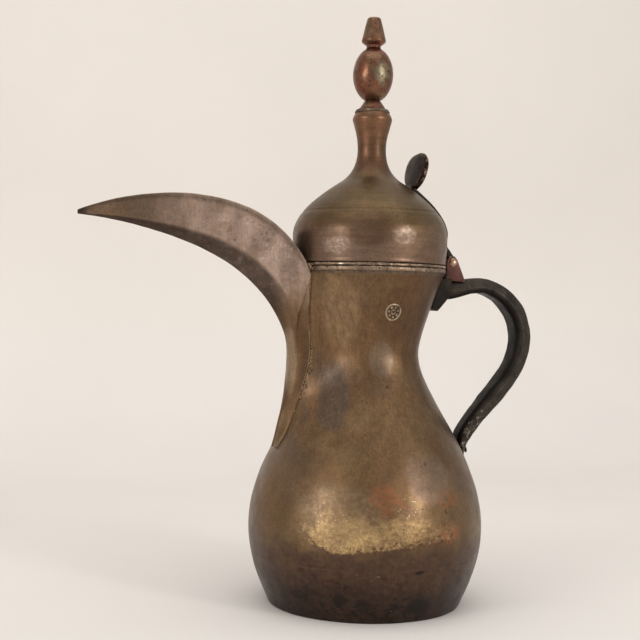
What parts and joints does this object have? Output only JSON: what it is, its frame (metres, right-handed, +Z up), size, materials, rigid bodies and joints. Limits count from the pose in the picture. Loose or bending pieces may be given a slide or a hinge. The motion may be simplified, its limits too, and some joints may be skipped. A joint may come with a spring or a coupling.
{
  "type": "dallah coffee pot",
  "caption": "Raised brass dallah with a pear-shaped body, crescent beak spout, hinged onion lid with a stacked finial, thumb leaf and forged strap handle.",
  "frame": {"origin": "centre of the underside of the flat base", "axes": "+Z up along the body axis, -X towards the point of the beak spout, +X towards the handle; the pot is symmetric about the XZ plane"},
  "size_m": [0.2643, 0.1324, 0.331],
  "materials": {
    "aged_brass": "aged brown brass, soft satin with worn golden patches and dark spots",
    "soldered_brass": "mottled brass with grey solder",
    "dark_brass": "heat-darkened purple-brown brass with soot spots",
    "copper": "reddish brown copper with a dull patina",
    "forged_iron": "dark oiled forged metal, worn lighter along its ridges"
  },
  "bodies": {
    "pot": {"body_shell": "aged_brass", "base_pan": "dark_brass", "base_disc": "dark_brass", "rim_ring": "soldered_brass", "spout": "aged_brass", "handle": "forged_iron", "handle_bracket": "forged_iron", "bracket_rivets": "copper", "foot_rivet": "copper", "hinge_lugs": "copper", "hinge_pin": "forged_iron"},
    "lid": {"lid_dome": "aged_brass", "lid_guide": "aged_brass", "lid_strap": "forged_iron", "strap_rivets": "copper", "thumb_leaf": "forged_iron", "leaf_rivet": "copper", "finial_washer": "copper", "finial_bead": "copper", "finial_tip": "copper", "finial_rod": "forged_iron", "rod_burr": "copper"}
  },
  "joints": [
    {"name": "lid_hinge", "type": "hinge", "parent": "pot", "child": "lid", "pos_m": [0.049, 0, 0.1932], "axis": [0, 1, 0], "range_deg": [0, 105]}
  ]
}
